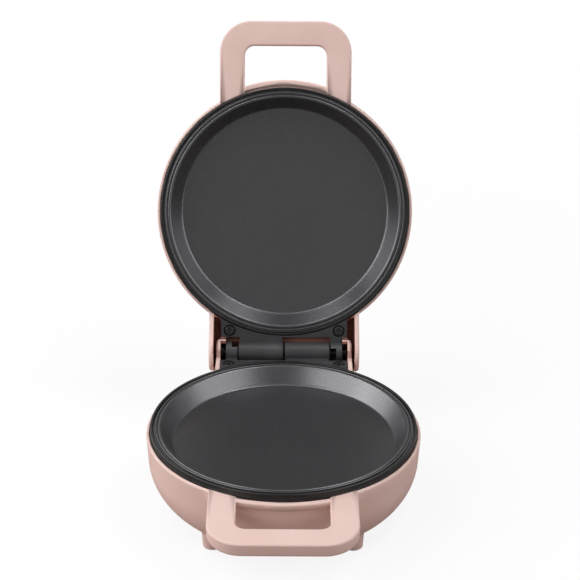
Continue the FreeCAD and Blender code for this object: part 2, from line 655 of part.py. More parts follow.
def make_pan():
    """A cast pan: bead, sloping wall, flat floor, and ribs and bosses underneath."""
    bead_out, bead_in = FLANGE_R - 1.2, MOUTH_R + 1.5
    top = RIM_Z - 0.05
    under_r = SPIGOT_R - SPIGOT_T - 0.4
    foot_r = FLOOR_R + 0.35 * (MOUTH_R - FLOOR_R)
    steps = [(FLANGE_R, FLANGE_Z - FLANGE_T), (FLANGE_R, FLANGE_Z), (bead_out, FLANGE_Z),
             ((bead_out - 0.8, top), (bead_in, RIM_Z - 0.5)),
             ((bead_in - 0.8, RIM_Z - 0.25), (MOUTH_R, RIM_Z - 0.9)),
             (FLOOR_R + 0.5, PAN_FLOOR_Z + 0.85),
             ((FLOOR_R + 0.05, PAN_FLOOR_Z + 0.2), (FLOOR_R - 0.9, PAN_FLOOR_Z)),
             (0, PAN_FLOOR_Z), (0, PAN_UNDER_Z), (FLOOR_R - 0.5, PAN_UNDER_Z), (foot_r, PAN_UNDER_Z + 2.0),
             (under_r, FLANGE_Z - FLANGE_T)]
    pan = turned(steps)
    pieces = [pan]
    for r_in in (COIL_R - TUBE_R - SNUG - RIB_T, COIL_R + TUBE_R + SNUG):
        rib = ring(r_in, r_in + RIB_T, PAN_UNDER_Z - RIB_H, PAN_UNDER_Z + 0.5)
        pieces.append(rib.cut(tail_room(PAN_UNDER_Z - RIB_H - 1, PAN_UNDER_Z + 1)))
    for angle in BOSS_ANGLES:
        x, y = polar(BOSS_RING_R, angle)
        pieces.append(rod_z(BOSS_R, x, y, BOSS_Z, PAN_UNDER_Z + 0.5))
    pan = joined(pieces)
    for angle in BOSS_ANGLES:
        x, y = polar(BOSS_RING_R, angle)
        pan = pan.cut(rod_z(SCREW_R + SNUG, x, y, BOSS_Z - 1, BOSS_Z + 5.2))
    return pan


def with_heater_seats(pan):
    """The base pan, with the thermostat's pad and the screw bosses that only it has."""
    pad = rod_z(THERMOSTAT_R + 0.8, 0, 0, PAN_UNDER_Z - 1.2, PAN_UNDER_Z + 0.5)
    half = THERMOSTAT_PITCH / 2
    bosses = [rod_z(2.7, x, 0, FLANGE_SEAT_Z, PAN_UNDER_Z + 0.5) for x in (-half, half)]
    bosses += [rod_z(2.7, x, FUSE_Y, FUSE_Z, PAN_UNDER_Z + 0.5) for x in (-FUSE_TAB_X, FUSE_TAB_X)]
    pan = joined([pan, pad] + bosses)
    for x, y in ((-half, 0), (half, 0), (-FUSE_TAB_X, FUSE_Y), (FUSE_TAB_X, FUSE_Y)):
        pan = pan.cut(rod_z(SMALL_SCREW_R + SNUG, x, y, PAN_UNDER_Z - 9, PAN_UNDER_Z + 0.6))
    return pan


def tube_along(edges, radius):
    """A round tube swept along joined edges."""
    path = Part.Wire(edges)
    first = edges[0]
    start = first.valueAt(first.FirstParameter)
    way = first.tangentAt(first.FirstParameter)
    ring_edge = Part.makeCircle(radius, start, way)
    return path.makePipeShell([Part.Wire([ring_edge])], True, True)


def make_heater():
    """A ring of sheathed heating tube, its two tails turned down and away from the pan."""
    half = COIL_GAP_ANGLE
    bend_r, tail_l, pin_l = (TAIL_SHARE * size for size in (TUBE_BEND_R, TUBE_TAIL, COLD_PIN_L))
    first, last = 90 + half, 90 - half + 360
    on_ring = lambda angle: vec(*polar(COIL_R, angle), COIL_Z)
    middle = (first + last) / 2
    edges = [Part.Arc(on_ring(first), on_ring(middle), on_ring(last)).toShape()]
    ends = []
    for angle, turn in ((first, 1), (last, -1)):
        start = on_ring(angle)
        tx, ty = polar(1.0, angle + 90)
        away = vec(-turn * tx, -turn * ty, 0)
        bend = math.radians(45)
        mid = start + away * (bend_r * math.sin(bend)) + vec(0, 0, -bend_r * (1 - math.cos(bend)))
        end = start + away * bend_r + vec(0, 0, -bend_r)
        tail = end + vec(0, 0, -tail_l)
        ends.append((start, mid, end, tail))
    start, mid, end, tail = ends[0]
    lead_in = [Part.LineSegment(tail, end).toShape(), Part.Arc(end, mid, start).toShape()]
    start, mid, end, tail = ends[1]
    lead_out = [Part.Arc(start, mid, end).toShape(), Part.LineSegment(end, tail).toShape()]
    tube = tube_along(lead_in + edges + lead_out, TUBE_R)
    pins = [rod_z(COLD_PIN_R, e[3].x, e[3].y, e[3].z - pin_l, e[3].z + 1) for e in ends]
    return joined([tube] + pins), [e[3] for e in ends]


def make_reflector(centre_r):
    """A pressed sheet dish that throws the heat back at the pan."""
    top = REFLECTOR_Z
    disc = rod_z(REFLECTOR_R, 0, 0, top - SHEET_T, top)
    rim = ring(REFLECTOR_R - SHEET_T, REFLECTOR_R, top - SHEET_T, top + REFLECTOR_RIM)
    dish = disc.fuse(rim)
    dish = dish.cut(tail_room(top - 5, top + 5))
    for angle in BOSS_ANGLES:
        x, y = polar(BOSS_RING_R, angle)
        dish = dish.cut(rod_z(SCREW_R + LOOSE, x, y, top - 5, top + 5))
    if centre_r > 0:
        dish = dish.cut(rod_z(centre_r, 0, 0, top - 5, top + 5))
    return dish.removeSplitter()


def make_pan_screws():
    """Three screws that hold ring, reflector and pan together."""
    screws = []
    for angle in BOSS_ANGLES:
        x, y = polar(BOSS_RING_R, angle)
        screws.append(screw(x, y, ARM_Z - ARM_T - SNUG, 1, SCREW_R, 7.0, HEAD_R, HEAD_H))
    return Part.makeCompound(screws)


def make_bracket():
    """A hinge bracket: plate with two screw recesses, a long barrel and a short ear."""
    back = HINGE_Y - BRACKET_BACK
    top, low = BRACKET_Z, -BARREL_R
    plate = block(-BRACKET_HALF_W, BRACKET_HALF_W, HINGE_Y - BRACKET_FRONT, back, low, top)
    plate = plate.cut(rod_z(RIM_R + LOOSE, 0, 0, low - 1, top + 1))
    plate = plate.cut(rod_z(REBATE_R + WALL, 0, 0, low - 1, LIP_Z + 0.1))
    barrel = rod_x(BARREL_R, BARREL_X[0], BARREL_X[1], HINGE_Y, 0)
    barrel = barrel.makeChamfer(0.6, [e for e in barrel.Edges if e.BoundBox.XLength < 1e-4])
    neck = block(BARREL_X[0] + 0.6, BARREL_X[1] - 0.6, back - 1, HINGE_Y, low, top)
    ear = rod_x(BARREL_R, -EAR_X[1], -EAR_X[0], HINGE_Y, 0)
    ear = ear.fuse(block(-EAR_X[1], -EAR_X[0], back - 1, HINGE_Y, low, top))
    pocket = block(-EAR_X[1] + EAR_WALL, -EAR_X[0] + 1, HINGE_Y - EAR_LIP, HINGE_Y + 8, -1.0, BARREL_R + 1)
    ear = ear.cut(pocket)
    bracket = joined([plate, barrel, neck, ear])
    bracket = bracket.cut(rod_x(PIN_R + PIN_FIT, -60, 60, HINGE_Y, 0))
    x, y = BRACKET_SCREW
    for recess in mirrored_pair(rod_z(HEAD_R + 0.65, x, y, top - BRACKET_RECESS, top + 1)):
        bracket = bracket.cut(recess)
    for hole in mirrored_pair(rod_z(SCREW_R + LOOSE, x, y, low - 1, top + 1)):
        bracket = bracket.cut(hole)
    return bracket


def make_bracket_screws():
    """Two screws down through the bracket into the housing."""
    x, y = BRACKET_SCREW
    seat = BRACKET_Z - BRACKET_RECESS + SNUG
    return Part.makeCompound(
        [screw(side * x, y, seat, -1, SCREW_R, BRACKET_SCREW_L, HEAD_R, HEAD_H) for side in (-1, 1)])


def make_hinge_pin():
    """The steel pin through both brackets, with a low head at one end."""
    end = TOWER_X - TOWER_WALL - 0.4
    pin = rod_x(PIN_R, -end, end, HINGE_Y, 0)
    pin = pin.makeChamfer(0.4, [e for e in pin.Edges if e.BoundBox.XMin > end - 0.1])
    return pin.fuse(rod_x(PIN_R + 1.2, -end, -end + 1.2, HINGE_Y, 0)).removeSplitter()


def make_cord_gland():
    """The bushing in the base's back wall that a mains cord would leave through."""
    back = HINGE_Y - BLOCK_BACK
    out = vec(0, 1, 0)
    inner = back - 6.5
    body = Part.makeCylinder(GLAND_R, back + GLAND_PROUD - inner, vec(0, inner, -GLAND_DEPTH), out)
    flange = Part.makeCylinder(GLAND_FLANGE_R, 1.6, vec(0, back + SNUG, -GLAND_DEPTH), out)
    gland = body.fuse(flange)
    rim = [e for e in gland.Edges if e.BoundBox.YMin > back + 1.0]
    gland = gland.makeFillet(0.5, rim)
    return gland.cut(Part.makeCylinder(GLAND_BORE_R, 40, vec(0, inner - 5, -GLAND_DEPTH), out))


def make_thermostat():
    """A snap-disc thermostat: cup, flange with two holes, and two blades."""
    top = THERMOSTAT_TOP_Z
    cup = rod_z(THERMOSTAT_R, 0, 0, top - THERMOSTAT_H, top)
    half = THERMOSTAT_PITCH / 2
    z = FLANGE_SEAT_Z - SNUG
    flange = block(-half, half, -4, 4, z - 0.8, z)
    ears = [rod_z(4, x, 0, z - 0.8, z) for x in (-half, half)]
    low = top - THERMOSTAT_H
    blades = [block(x - 0.4, x + 0.4, -3.1, 3.1, low - 8, low + 1) for x in (-4.5, 4.5)]
    body = joined([cup, flange] + ears + blades)
    for x in (-half, half):
        body = body.cut(rod_z(SMALL_SCREW_R + LOOSE, x, 0, z - 3, z + 3))
    return body


def make_thermostat_screws():
    """Two screws through the thermostat's flange."""
    half = THERMOSTAT_PITCH / 2
    seat = FLANGE_SEAT_Z - SNUG - 0.8 - SNUG
    length = 3.6
    return Part.makeCompound(
        [screw(x, 0, seat, 1, SMALL_SCREW_R, length, SMALL_HEAD_R, SMALL_HEAD_H) for x in (-half, half)])


def make_thermal_fuse():
    """A one-shot thermal fuse in a glass-fibre sleeve, with its two wires."""
    y0 = FUSE_Y - FUSE_SLEEVE_L / 2
    body = Part.makeCylinder(FUSE_SLEEVE_R, FUSE_SLEEVE_L, vec(0, y0, FUSE_Z), vec(0, 1, 0))
    wires = Part.makeCylinder(0.6, FUSE_SLEEVE_L + 4, vec(0, y0 - 2, FUSE_Z), vec(0, 1, 0))
    return body.fuse(wires).removeSplitter()


def make_fuse_strap():
    """The bent strap that presses the fuse against the pan, with a tab each side."""
    r_in = FUSE_SLEEVE_R + SNUG
    r_out = r_in + SHEET_T
    z = FUSE_Z - SNUG
    tab = FUSE_TAB_X + 3.0
    arch = Part.makeCylinder(r_out, 7, vec(0, FUSE_Y - 3.5, FUSE_Z), vec(0, 1, 0))
    arch = arch.common(block(-20, 20, FUSE_Y - 10, FUSE_Y + 10, FUSE_Z - 10, z))
    plate = block(-tab, tab, FUSE_Y - 3.5, FUSE_Y + 3.5, z - SHEET_T, z)
    strap = arch.fuse(plate).cut(Part.makeCylinder(r_in, 20, vec(0, FUSE_Y - 10, FUSE_Z), vec(0, 1, 0)))
    for x in (-FUSE_TAB_X, FUSE_TAB_X):
        strap = strap.cut(rod_z(SMALL_SCREW_R + LOOSE, x, FUSE_Y, z - 3, z + 3))
    return strap.removeSplitter()


def make_fuse_screws():
    """Two screws through the strap's tabs."""
    seat = FUSE_Z - SNUG - SHEET_T - SNUG
    return Part.makeCompound([screw(x, FUSE_Y, seat, 1, SMALL_SCREW_R, 3.2, SMALL_HEAD_R, SMALL_HEAD_H)
                              for x in (-FUSE_TAB_X, FUSE_TAB_X)])


def make_terminal_block():
    """A three-way ceramic terminal block on a post in the base."""
    x, y = TERMINAL_PLACE
    w, d = TERMINAL_SIZE[:2]
    h = TERMINAL_H
    z0 = TERMINAL_Z + SNUG
    body = block(x - w / 2, x + w / 2, y - d / 2, y + d / 2, z0, z0 + h)
    body = body.cut(rod_z(HEAD_R + LOOSE, x, y, z0 + 3, z0 + h + 1))
    body = body.cut(rod_z(SCREW_R + LOOSE, x, y, z0 - 1, z0 + h))
    for way_x in (-TERMINAL_WAY_X, TERMINAL_WAY_X):
        way = vec(x + way_x, y - d / 2 - 1, z0 + TERMINAL_WAY_Z)
        body = body.cut(rod_z(2.0, x + way_x, y, z0 + 5.5, z0 + h + 1))
        body = body.cut(Part.makeCylinder(LEAD_R + SNUG, d + 2, way, vec(0, 1, 0)))
    return body


def make_terminal_screw():
    """The screw that holds the terminal block."""
    x, y = TERMINAL_PLACE
    return screw(x, y, TERMINAL_Z + 3 + 2 * SNUG, -1, SCREW_R, 6.0, HEAD_R, HEAD_H)


def lead(points, radius=LEAD_R):
    """An insulated lead: straight runs joined by tangent arcs."""
    pts = [vec(*p) for p in points]
    edges = []
    here = pts[0]
    for i in range(1, len(pts) - 1):
        before, after = pts[i] - pts[i - 1], pts[i + 1] - pts[i]
        a, b = before.Length, after.Length
        before.normalize()
        after.normalize()
        turn = before.getAngle(after)
        cut_back = 0.45 * min(a, b)
        start = pts[i] - before * cut_back
        end = pts[i] + after * cut_back
        bend_r = cut_back / math.tan(turn / 2)
        inward = after - before
        inward.normalize()
        centre = pts[i] + inward * math.hypot(bend_r, cut_back)
        out = pts[i] - centre
        out.normalize()
        edges.append(Part.LineSegment(here, start).toShape())
        edges.append(Part.Arc(start, centre + out * bend_r, end).toShape())
        here = end
    edges.append(Part.LineSegment(here, pts[-1]).toShape())
    return tube_along(edges, radius)


def socket(x, y, z, pin_r=COLD_PIN_R):
    """A push-on sleeve over the end of a cold pin that points down to z."""
    sleeve = rod_z(pin_r + 1.0, x, y, z - 3, z + TAIL_SHARE * COLD_PIN_L)
    return sleeve.cut(rod_z(pin_r + SNUG, x, y, z - 0.2, z + COLD_PIN_L + 1))


def make_base_leads(tails):
    """The base's two leads, from the heater's cold pins to the terminal block."""
    x0, y0 = TERMINAL_PLACE
    y_face = y0 + TERMINAL_SIZE[1] / 2
    z_way = TERMINAL_Z + SNUG + TERMINAL_WAY_Z
    pieces = []
    for tail, side in zip(tails, (-1, 1)):
        low = tail.z - TAIL_SHARE * COLD_PIN_L
        z_turn = low - TAIL_SHARE * LEAD_DROP
        x_way = x0 + side * TERMINAL_WAY_X
        run = lead([(tail.x, tail.y, z_turn + 5.0), (tail.x, tail.y, z_turn),
                    (x_way, y_face + 9, z_way), (x_way, y_face - 3, z_way)])
        pieces.append(joined([socket(tail.x, tail.y, low), run]))
    return Part.makeCompound(pieces)


def make_lid_leads(tails):
    """The lid's two leads, from the heater's cold pins to the lamp holder."""
    pieces = []
    for tail, side in zip(tails, (-1, 1)):
        low = tail.z - TAIL_SHARE * COLD_PIN_L
        z_run = low - TAIL_SHARE * LID_LEAD_DROP
        x_end = side * LAMP_R / 2
        y_end = LENS_Y + LAMP_R
        down = [(tail.x, tail.y, z_run + 2.5), (tail.x, tail.y, z_run)]
        across_lid = [(side * 14, 12, z_run), (side * 10, -16, z_run + 1.0)]
        to_lamp = [(x_end, y_end + 8, z_run + 2.0), (x_end, y_end - 0.1, z_run + 2.0)]
        run = lead(down + across_lid + to_lamp)
        pieces.append(joined([socket(tail.x, tail.y, low), run]))
    return Part.makeCompound(pieces)


def make_lens():
    """A small round window for the lid's lamp, seated from inside the crown."""
    z_out = -LID_DEPTH + LENS_Y ** 2 / (2 * crown_radius())
    body = rod_z(LENS_R, 0, LENS_Y, z_out - 0.9, z_out + WALL + 1.5)
    top = [e for e in body.Edges if e.BoundBox.ZMax < z_out - 0.8]
    body = body.makeFillet(0.7, top)
    collar = rod_z(LENS_R + 1.6, 0, LENS_Y, z_out + WALL + 0.4, z_out + WALL + 1.8)
    return joined([body, collar])


def crown_radius():
    """Radius of the lid's gentle crown."""
    centre = WALL_R - LID_SHOULDER_R
    rise = LID_DEPTH - LID_SHOULDER_DEPTH
    return (centre ** 2 + rise ** 2 - LID_SHOULDER_R ** 2) / (2 * (rise - LID_SHOULDER_R))


def make_lamp():
    """A neon lamp in a short holder behind the lens."""
    z0 = -LID_DEPTH + LENS_Y ** 2 / (2 * crown_radius()) + WALL + 1.8 + SNUG
    holder = rod_z(LAMP_R, 0, LENS_Y, z0, z0 + LAMP_L)
    rim = [e for e in holder.Edges if e.BoundBox.ZMin > z0 + LAMP_L - 1e-4]
    return holder.makeFillet(1.2, rim)


def turned_over(shape):
    """A lid piece moved from its upside-down place to the closed lid."""
    copy = shape.copy()
    copy.rotate(vec(0, 0, 0), vec(0, 1, 0), 180)
    return copy


def swung_open(shape):
    """A closed-lid piece swung open about the hinge pin."""
    copy = shape.copy()
    copy.rotate(vec(0, HINGE_Y, 0), vec(1, 0, 0), -OPEN_ANGLE)
    return copy


def build():
    """Every node's shape by name, base first, with the lid open and the origin still in the pan."""
    nodes = {}
    housing, cover, screws = make_base_housing()
    nodes["base_housing"] = housing
    nodes["base_handle_cover"] = cover
    nodes["base_handle_screws"] = screws
    ring_shape = make_rim_ring()
    pan = make_pan()
    heater, tails = make_heater()
    bracket = make_bracket()
    nodes["base_rim_ring"] = ring_shape
    nodes["base_pan"] = with_heater_seats(pan)
    nodes["base_heating_element"] = heater
    nodes["base_reflector"] = make_reflector(THERMOSTAT_PITCH / 2 + 5)
    nodes["base_pan_screws"] = make_pan_screws()
    nodes["base_hinge_bracket"] = bracket
    nodes["base_bracket_screws"] = make_bracket_screws()
    nodes["hinge_pin"] = make_hinge_pin()
    nodes["foot_pads"] = make_foot_pads()
    nodes["cord_gland"] = make_cord_gland()
    nodes["thermostat"] = make_thermostat()
    nodes["thermostat_screws"] = make_thermostat_screws()
    nodes["thermal_fuse"] = make_thermal_fuse()
    nodes["fuse_strap"] = make_fuse_strap()
    nodes["fuse_strap_screws"] = make_fuse_screws()
    nodes["terminal_block"] = make_terminal_block()
    nodes["terminal_block_screw"] = make_terminal_screw()
    nodes["base_leads"] = make_base_leads(tails)

    housing, cover, screws = make_lid_housing()
    lid = {
        "lid_housing": housing,
        "lid_handle_cover": cover,
        "lid_handle_screws": screws,
        "lid_rim_ring": ring_shape,
        "lid_pan": pan,
        "lid_heating_element": heater,
        "lid_reflector": make_reflector(0),
        "lid_pan_screws": make_pan_screws(),
        "lid_hinge_bracket": bracket,
        "lid_bracket_screws": make_bracket_screws(),
        "indicator_lens": make_lens(),
        "indicator_lamp": make_lamp(),
        "lid_leads": make_lid_leads(tails),
    }
    for name, shape in lid.items():
        nodes[name] = swung_open(turned_over(shape))
    return nodes


def main():
    """Move the object to its own origin and write one STEP per node."""
    nodes = build()
    whole = Part.makeCompound(list(nodes.values())).optimalBoundingBox(False, False)
    shift = vec(0, -(whole.YMin + whole.YMax) / 2, -REST_Z)
    os.makedirs("parts", exist_ok=True)
    for name, shape in nodes.items():
        shape.translate(shift)
        shape.exportStep("parts/" + name + ".step")
        print(name, len(shape.Solids), "solids, volume", round(shape.Volume, 1), "valid", shape.isValid())
    print("hinge pin at y", round(HINGE_Y + shift.y, 4), "z", round(shift.z, 4))
    print("pan middle at y", round(shift.y, 4), "parting plane at z", round(shift.z, 4))
    print("box", [round(v, 3) for v in (whole.XMin, whole.XMax, whole.YMin + shift.y, whole.YMax + shift.y,
                                        whole.ZMin + shift.z, whole.ZMax + shift.z)])


main()
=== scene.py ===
"""Looks of a small round pancake cooker with its lid standing open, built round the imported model.

Both pans, both rim rings, the shells, the hinge brackets, the foot pads, the cord bushing and the
indicator window are finished here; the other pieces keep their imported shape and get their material.
Pieces of a half are written in the half's own measure, in millimetres: the pan's middle on the Z axis,
the parting plane at height 0 and the half hanging below it. A Half's matrix takes that to the frame.
"""
from __future__ import annotations

import json
import logging
import math
from dataclasses import dataclass, field
from enum import Enum
from typing import Any, Callable, Iterable, Sequence

import bmesh
import bpy
from mathutils import Matrix, Vector

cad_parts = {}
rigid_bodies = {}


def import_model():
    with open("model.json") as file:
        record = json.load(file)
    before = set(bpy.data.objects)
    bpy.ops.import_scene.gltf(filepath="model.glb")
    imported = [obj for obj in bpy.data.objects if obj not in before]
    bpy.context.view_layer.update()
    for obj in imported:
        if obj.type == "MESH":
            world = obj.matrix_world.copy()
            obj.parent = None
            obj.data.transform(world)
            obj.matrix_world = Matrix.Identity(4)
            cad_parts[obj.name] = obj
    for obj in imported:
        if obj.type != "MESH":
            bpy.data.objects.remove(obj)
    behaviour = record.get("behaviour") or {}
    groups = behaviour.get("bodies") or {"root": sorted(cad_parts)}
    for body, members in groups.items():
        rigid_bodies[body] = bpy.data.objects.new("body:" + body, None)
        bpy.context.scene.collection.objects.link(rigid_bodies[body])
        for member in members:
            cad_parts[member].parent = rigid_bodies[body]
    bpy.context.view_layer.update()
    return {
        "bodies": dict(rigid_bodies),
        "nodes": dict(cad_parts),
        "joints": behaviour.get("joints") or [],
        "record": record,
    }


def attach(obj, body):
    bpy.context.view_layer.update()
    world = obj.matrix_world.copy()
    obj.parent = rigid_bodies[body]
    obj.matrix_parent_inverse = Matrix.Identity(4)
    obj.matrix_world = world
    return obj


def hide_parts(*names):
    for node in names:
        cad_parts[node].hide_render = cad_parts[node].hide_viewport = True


log = logging.getLogger("pancake_cooker")

MM = 0.001
HINGE_BEHIND_PAN = 79.7

Colour = tuple[float, float, float]
Link = "Tap | float"


class Half(Enum):
    """The two halves that the hinge joins, by the body that each rides on."""

    BASE = "base"
    LID = "lid"


@dataclass(frozen=True)
class Layout:
    """Where the cooker's two halves stand in the frame.

    Attributes:
        hinge: a point on the hinge pin's axis, in metres.
        opened: how far the lid stands open, in radians.
    """

    hinge: Vector
    opened: float

    @classmethod
    def from_frame(cls, frame: dict[str, Any]) -> Layout:
        """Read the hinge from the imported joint.


        Returns:
            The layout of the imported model.
        """
        joint = frame["joints"][0]
        return cls(Vector(joint["pos_m"]), math.radians(joint["range_deg"][1]))

    def matrix(self, half: Half) -> Matrix:
        """Give the matrix from a half's own millimetres to the frame.

        Args:
            half: the base or the lid.

        Returns:
            A matrix that moves a piece to its place at rest.
        """
        scale = Matrix.Scale(MM, 4)
        to_frame = Matrix.Translation(self.hinge - Vector((0, HINGE_BEHIND_PAN * MM, 0)))
        if half is Half.BASE:
            return to_frame @ scale
        turn_over = Matrix.Rotation(math.pi, 4, "Y")
        swing = Matrix.Translation(self.hinge) @ Matrix.Rotation(-self.opened, 4, "X")
        swing = swing @ Matrix.Translation(-self.hinge)
        return swing @ to_frame @ turn_over @ scale


class Tap:
    """A shader socket with arithmetic: each operator adds the Math node that it names."""

    def __init__(self, tree: bpy.types.NodeTree, socket: bpy.types.NodeSocket) -> None:
        """Wrap an output socket of a tree."""
        self.tree = tree
        self.socket = socket

    def _math(self, operation: str, *values: Tap | float) -> Tap:
        """Add a Math node.

        Args:
            operation: the node's operation.
            values: its inputs, as taps or numbers.

        Returns:
            The node's result.
        """
        node = self.tree.nodes.new("ShaderNodeMath")
        node.operation = operation
        for place, value in enumerate(values):
            if isinstance(value, Tap):
                self.tree.links.new(value.socket, node.inputs[place])
            else:
                node.inputs[place].default_value = value
        return Tap(self.tree, node.outputs[0])

    def __add__(self, other: Tap | float) -> Tap:
        """Add."""
        return self._math("ADD", self, other)

    def __radd__(self, other: float) -> Tap:
        """Add to a number."""
        return self._math("ADD", other, self)

    def __sub__(self, other: Tap | float) -> Tap:
        """Subtract."""
        return self._math("SUBTRACT", self, other)

    def __rsub__(self, other: float) -> Tap:
        """Subtract from a number."""
        return self._math("SUBTRACT", other, self)

    def __mul__(self, other: Tap | float) -> Tap:
        """Multiply."""
        return self._math("MULTIPLY", self, other)

    def __rmul__(self, other: float) -> Tap:
        """Multiply a number."""
        return self._math("MULTIPLY", other, self)

    def band(self, low: float, high: float) -> Tap:
        """Rise smoothly from 0 at low to 1 at high.

        Args:
            low: the value where the rise starts.
            high: the value where it ends.

        Returns:
            A mask from 0 to 1.
        """
        node = self.tree.nodes.new("ShaderNodeMapRange")
        node.interpolation_type = "SMOOTHSTEP"
        self.tree.links.new(self.socket, node.inputs["Value"])
        node.inputs["From Min"].default_value = low
        node.inputs["From Max"].default_value = high
        return Tap(self.tree, node.outputs["Result"])


class Finisher:
    """Builds one material's nodes round a Principled shader."""

    def __init__(self, name: str) -> None:
        """Start a material with that name."""
        self.material = bpy.data.materials.new(name)
        self.material.use_nodes = True
        self.tree = self.material.node_tree
        self.shader = self.tree.nodes["Principled BSDF"]
        self.output = self.tree.nodes["Material Output"]

    def node(self, kind: str, settings: dict[str, Any] | None = None, **inputs: Any) -> bpy.types.Node:
        """Add a node of any kind.

        Args:
            kind: the node's type name.
            settings: attributes to set first, such as an operation.
            inputs: values or taps by socket name, spaces written as underscores.

        Returns:
            The new node.
        """
        made = self.tree.nodes.new(kind)
        for key, value in (settings or {}).items():
            setattr(made, key, value)
        for key, value in inputs.items():
            socket = made.inputs[key.replace("_", " ")]
            if isinstance(value, Tap):
                self.tree.links.new(value.socket, socket)
            else:
                socket.default_value = value
        return made

    def tap(self, node: bpy.types.Node, output: str | int = 0) -> Tap:
        """Wrap a node's output."""
        return Tap(self.tree, node.outputs[output])

    def place(self) -> Tap:
        """Give the Object coordinates."""
        return self.tap(self.node("ShaderNodeTexCoord"), "Object")

    def noise(self, scale: float, detail: float = 3.0, roughness: float = 0.55) -> Tap:
        """Give a noise pattern.

        Args:
            scale: features to the metre.
            detail: octaves.
            roughness: how much the finer octaves show.

        Returns:
            A value from 0 to 1 with its mean near a half.
        """
        made = self.node("ShaderNodeTexNoise", Vector=self.place(), Scale=scale, Detail=detail, Roughness=roughness)
        return self.tap(made, "Fac")

    def grains(self, scale: float, randomness: float = 1.0) -> Tap:
        """Give the distance to the nearest of a field of scattered grains.

        Args:
            scale: grains to the metre.
            randomness: how unevenly they lie.

        Returns:
            A distance that is 0 at each grain.
        """
        made = self.node("ShaderNodeTexVoronoi", Vector=self.place(), Scale=scale, Randomness=randomness)
        return self.tap(made, "Distance")

    def mix(self, mask: Tap | float, low: Colour | Tap, high: Colour | Tap) -> Tap:
        """Mix two colours.

        Args:
            mask: 0 for the first colour and 1 for the second.
            low: the first colour.
            high: the second colour.

        Returns:
            The mixed colour.
        """
        made = self.node("ShaderNodeMix", {"data_type": "RGBA"})
        for place, value in ((0, mask), (6, low), (7, high)):
            if isinstance(value, Tap):
                self.tree.links.new(value.socket, made.inputs[place])
            elif place:
                made.inputs[place].default_value = (*value, 1.0)
            else:
                made.inputs[place].default_value = value
        return self.tap(made, 2)

    def feed(self, name: str, value: Any) -> None:
        """Set or link a socket of the Principled shader.

        Args:
            name: the socket's name.
            value: a number, a colour or a tap.
        """
        socket = self.shader.inputs[name]
        if isinstance(value, Tap):
            self.tree.links.new(value.socket, socket)
        elif isinstance(value, tuple) and len(value) == 3:
            socket.default_value = (*value, 1.0)
        else:
            socket.default_value = value

    def bump(self, height: Tap, depth: float, strength: float = 1.0) -> None:
        """Raise the surface by a height pattern.

        Args:
            height: the pattern, from 0 to 1.
            depth: the height of 1, in metres.
            strength: the bump's strength.
        """
        made = self.node("ShaderNodeBump", Height=height, Distance=depth, Strength=strength)
        self.feed("Normal", self.tap(made, "Normal"))


@dataclass(frozen=True)
class PaintedHingeShade:
    """The room round the hinge, where a painted shade makes a shell's pink darker and deeper.

    Attributes:
        layout: where the halves stand.
        half: the half whose shell it is.
        side: how far the room reaches each side of the middle, in millimetres.
        pin_room: its reach round the pin.
        deck_reach: how far it goes from the pin towards the pan.
        deck_depth: how deep it goes below the parting plane.
    """

    layout: Layout
    half: Half
    side: float
    pin_room: float
    deck_reach: float
    deck_depth: float

    def mask(self, to: Finisher) -> Tap:
        """Give the painted shade's mask, which is 1 in the room round the hinge.

        Args:
            to: the material's finisher.

        Returns:
            The mask.
        """
        ways = to.node("ShaderNodeSeparateXYZ", Vector=to.place())
        x = to.tap(ways, "X")
        y = to.tap(ways, "Y") - self.layout.hinge.y
        z = to.tap(ways, "Z") - self.layout.hinge.z
        turn = self.layout.matrix(self.half).to_3x3().normalized()
        out, inwards = turn @ Vector((0, 0, 1)), turn @ Vector((0, -1, 0))
        height = y * out.y + z * out.z
        along = y * inwards.y + z * inwards.z
        between = 1.0 - (x * x).band((self.side * MM) ** 2, ((self.side + 0.25) * MM) ** 2)
        round_pin = 1.0 - (y * y + z * z).band((self.pin_room * MM) ** 2, ((self.pin_room + 0.7) * MM) ** 2)
        deck = height.band(-(self.deck_depth + 1.0) * MM, -self.deck_depth * MM) * along.band(0.0, 0.5 * MM)
        deck = deck * (1.0 - along.band(self.deck_reach * MM, (self.deck_reach + 5.0) * MM))
        return between * (round_pin + deck - round_pin * deck)


@dataclass(frozen=True)
class SoftShell:
    """Soft matte plastic of the shells and handles, with a painted shade in the room round the hinge.

    Attributes:
        name: the material's name.
        painted_shade: the room round the hinge, where painted shade darkens and deepens the colour.
        colour: the moulded colour.
        shade: the colour of the faint cloudiness in it.
        deep: the painted shade's colour, laid over the pink in the room round the hinge.
    """

    name: str
    painted_shade: PaintedHingeShade
    deep: Colour = (0.30, 0.095, 0.060)
    colour: Colour = (0.785, 0.578, 0.528)
    shade: Colour = (0.755, 0.545, 0.494)

    def make(self) -> bpy.types.Material:
        """Build the material."""
        to = Finisher(self.name)
        cloud = to.noise(38.0, 2.0, 0.5)
        spark = to.noise(2600.0, 2.0, 0.6)
        open_colour = to.mix(cloud.band(0.3, 0.7), self.shade, self.colour)
        # Painted shade: the pink turns towards the deep colour in the room round the hinge, as if darkened by shade.
        to.feed("Base Color", to.mix(self.painted_shade.mask(to) * 0.9, open_colour, self.deep))
        to.feed("Roughness", 0.42 + spark * 0.12 + cloud * 0.05)
        to.feed("Specular IOR Level", 0.45)
        to.bump(spark + to.noise(700.0, 2.0) * 0.5, 0.00002, 0.6)
        return to.material


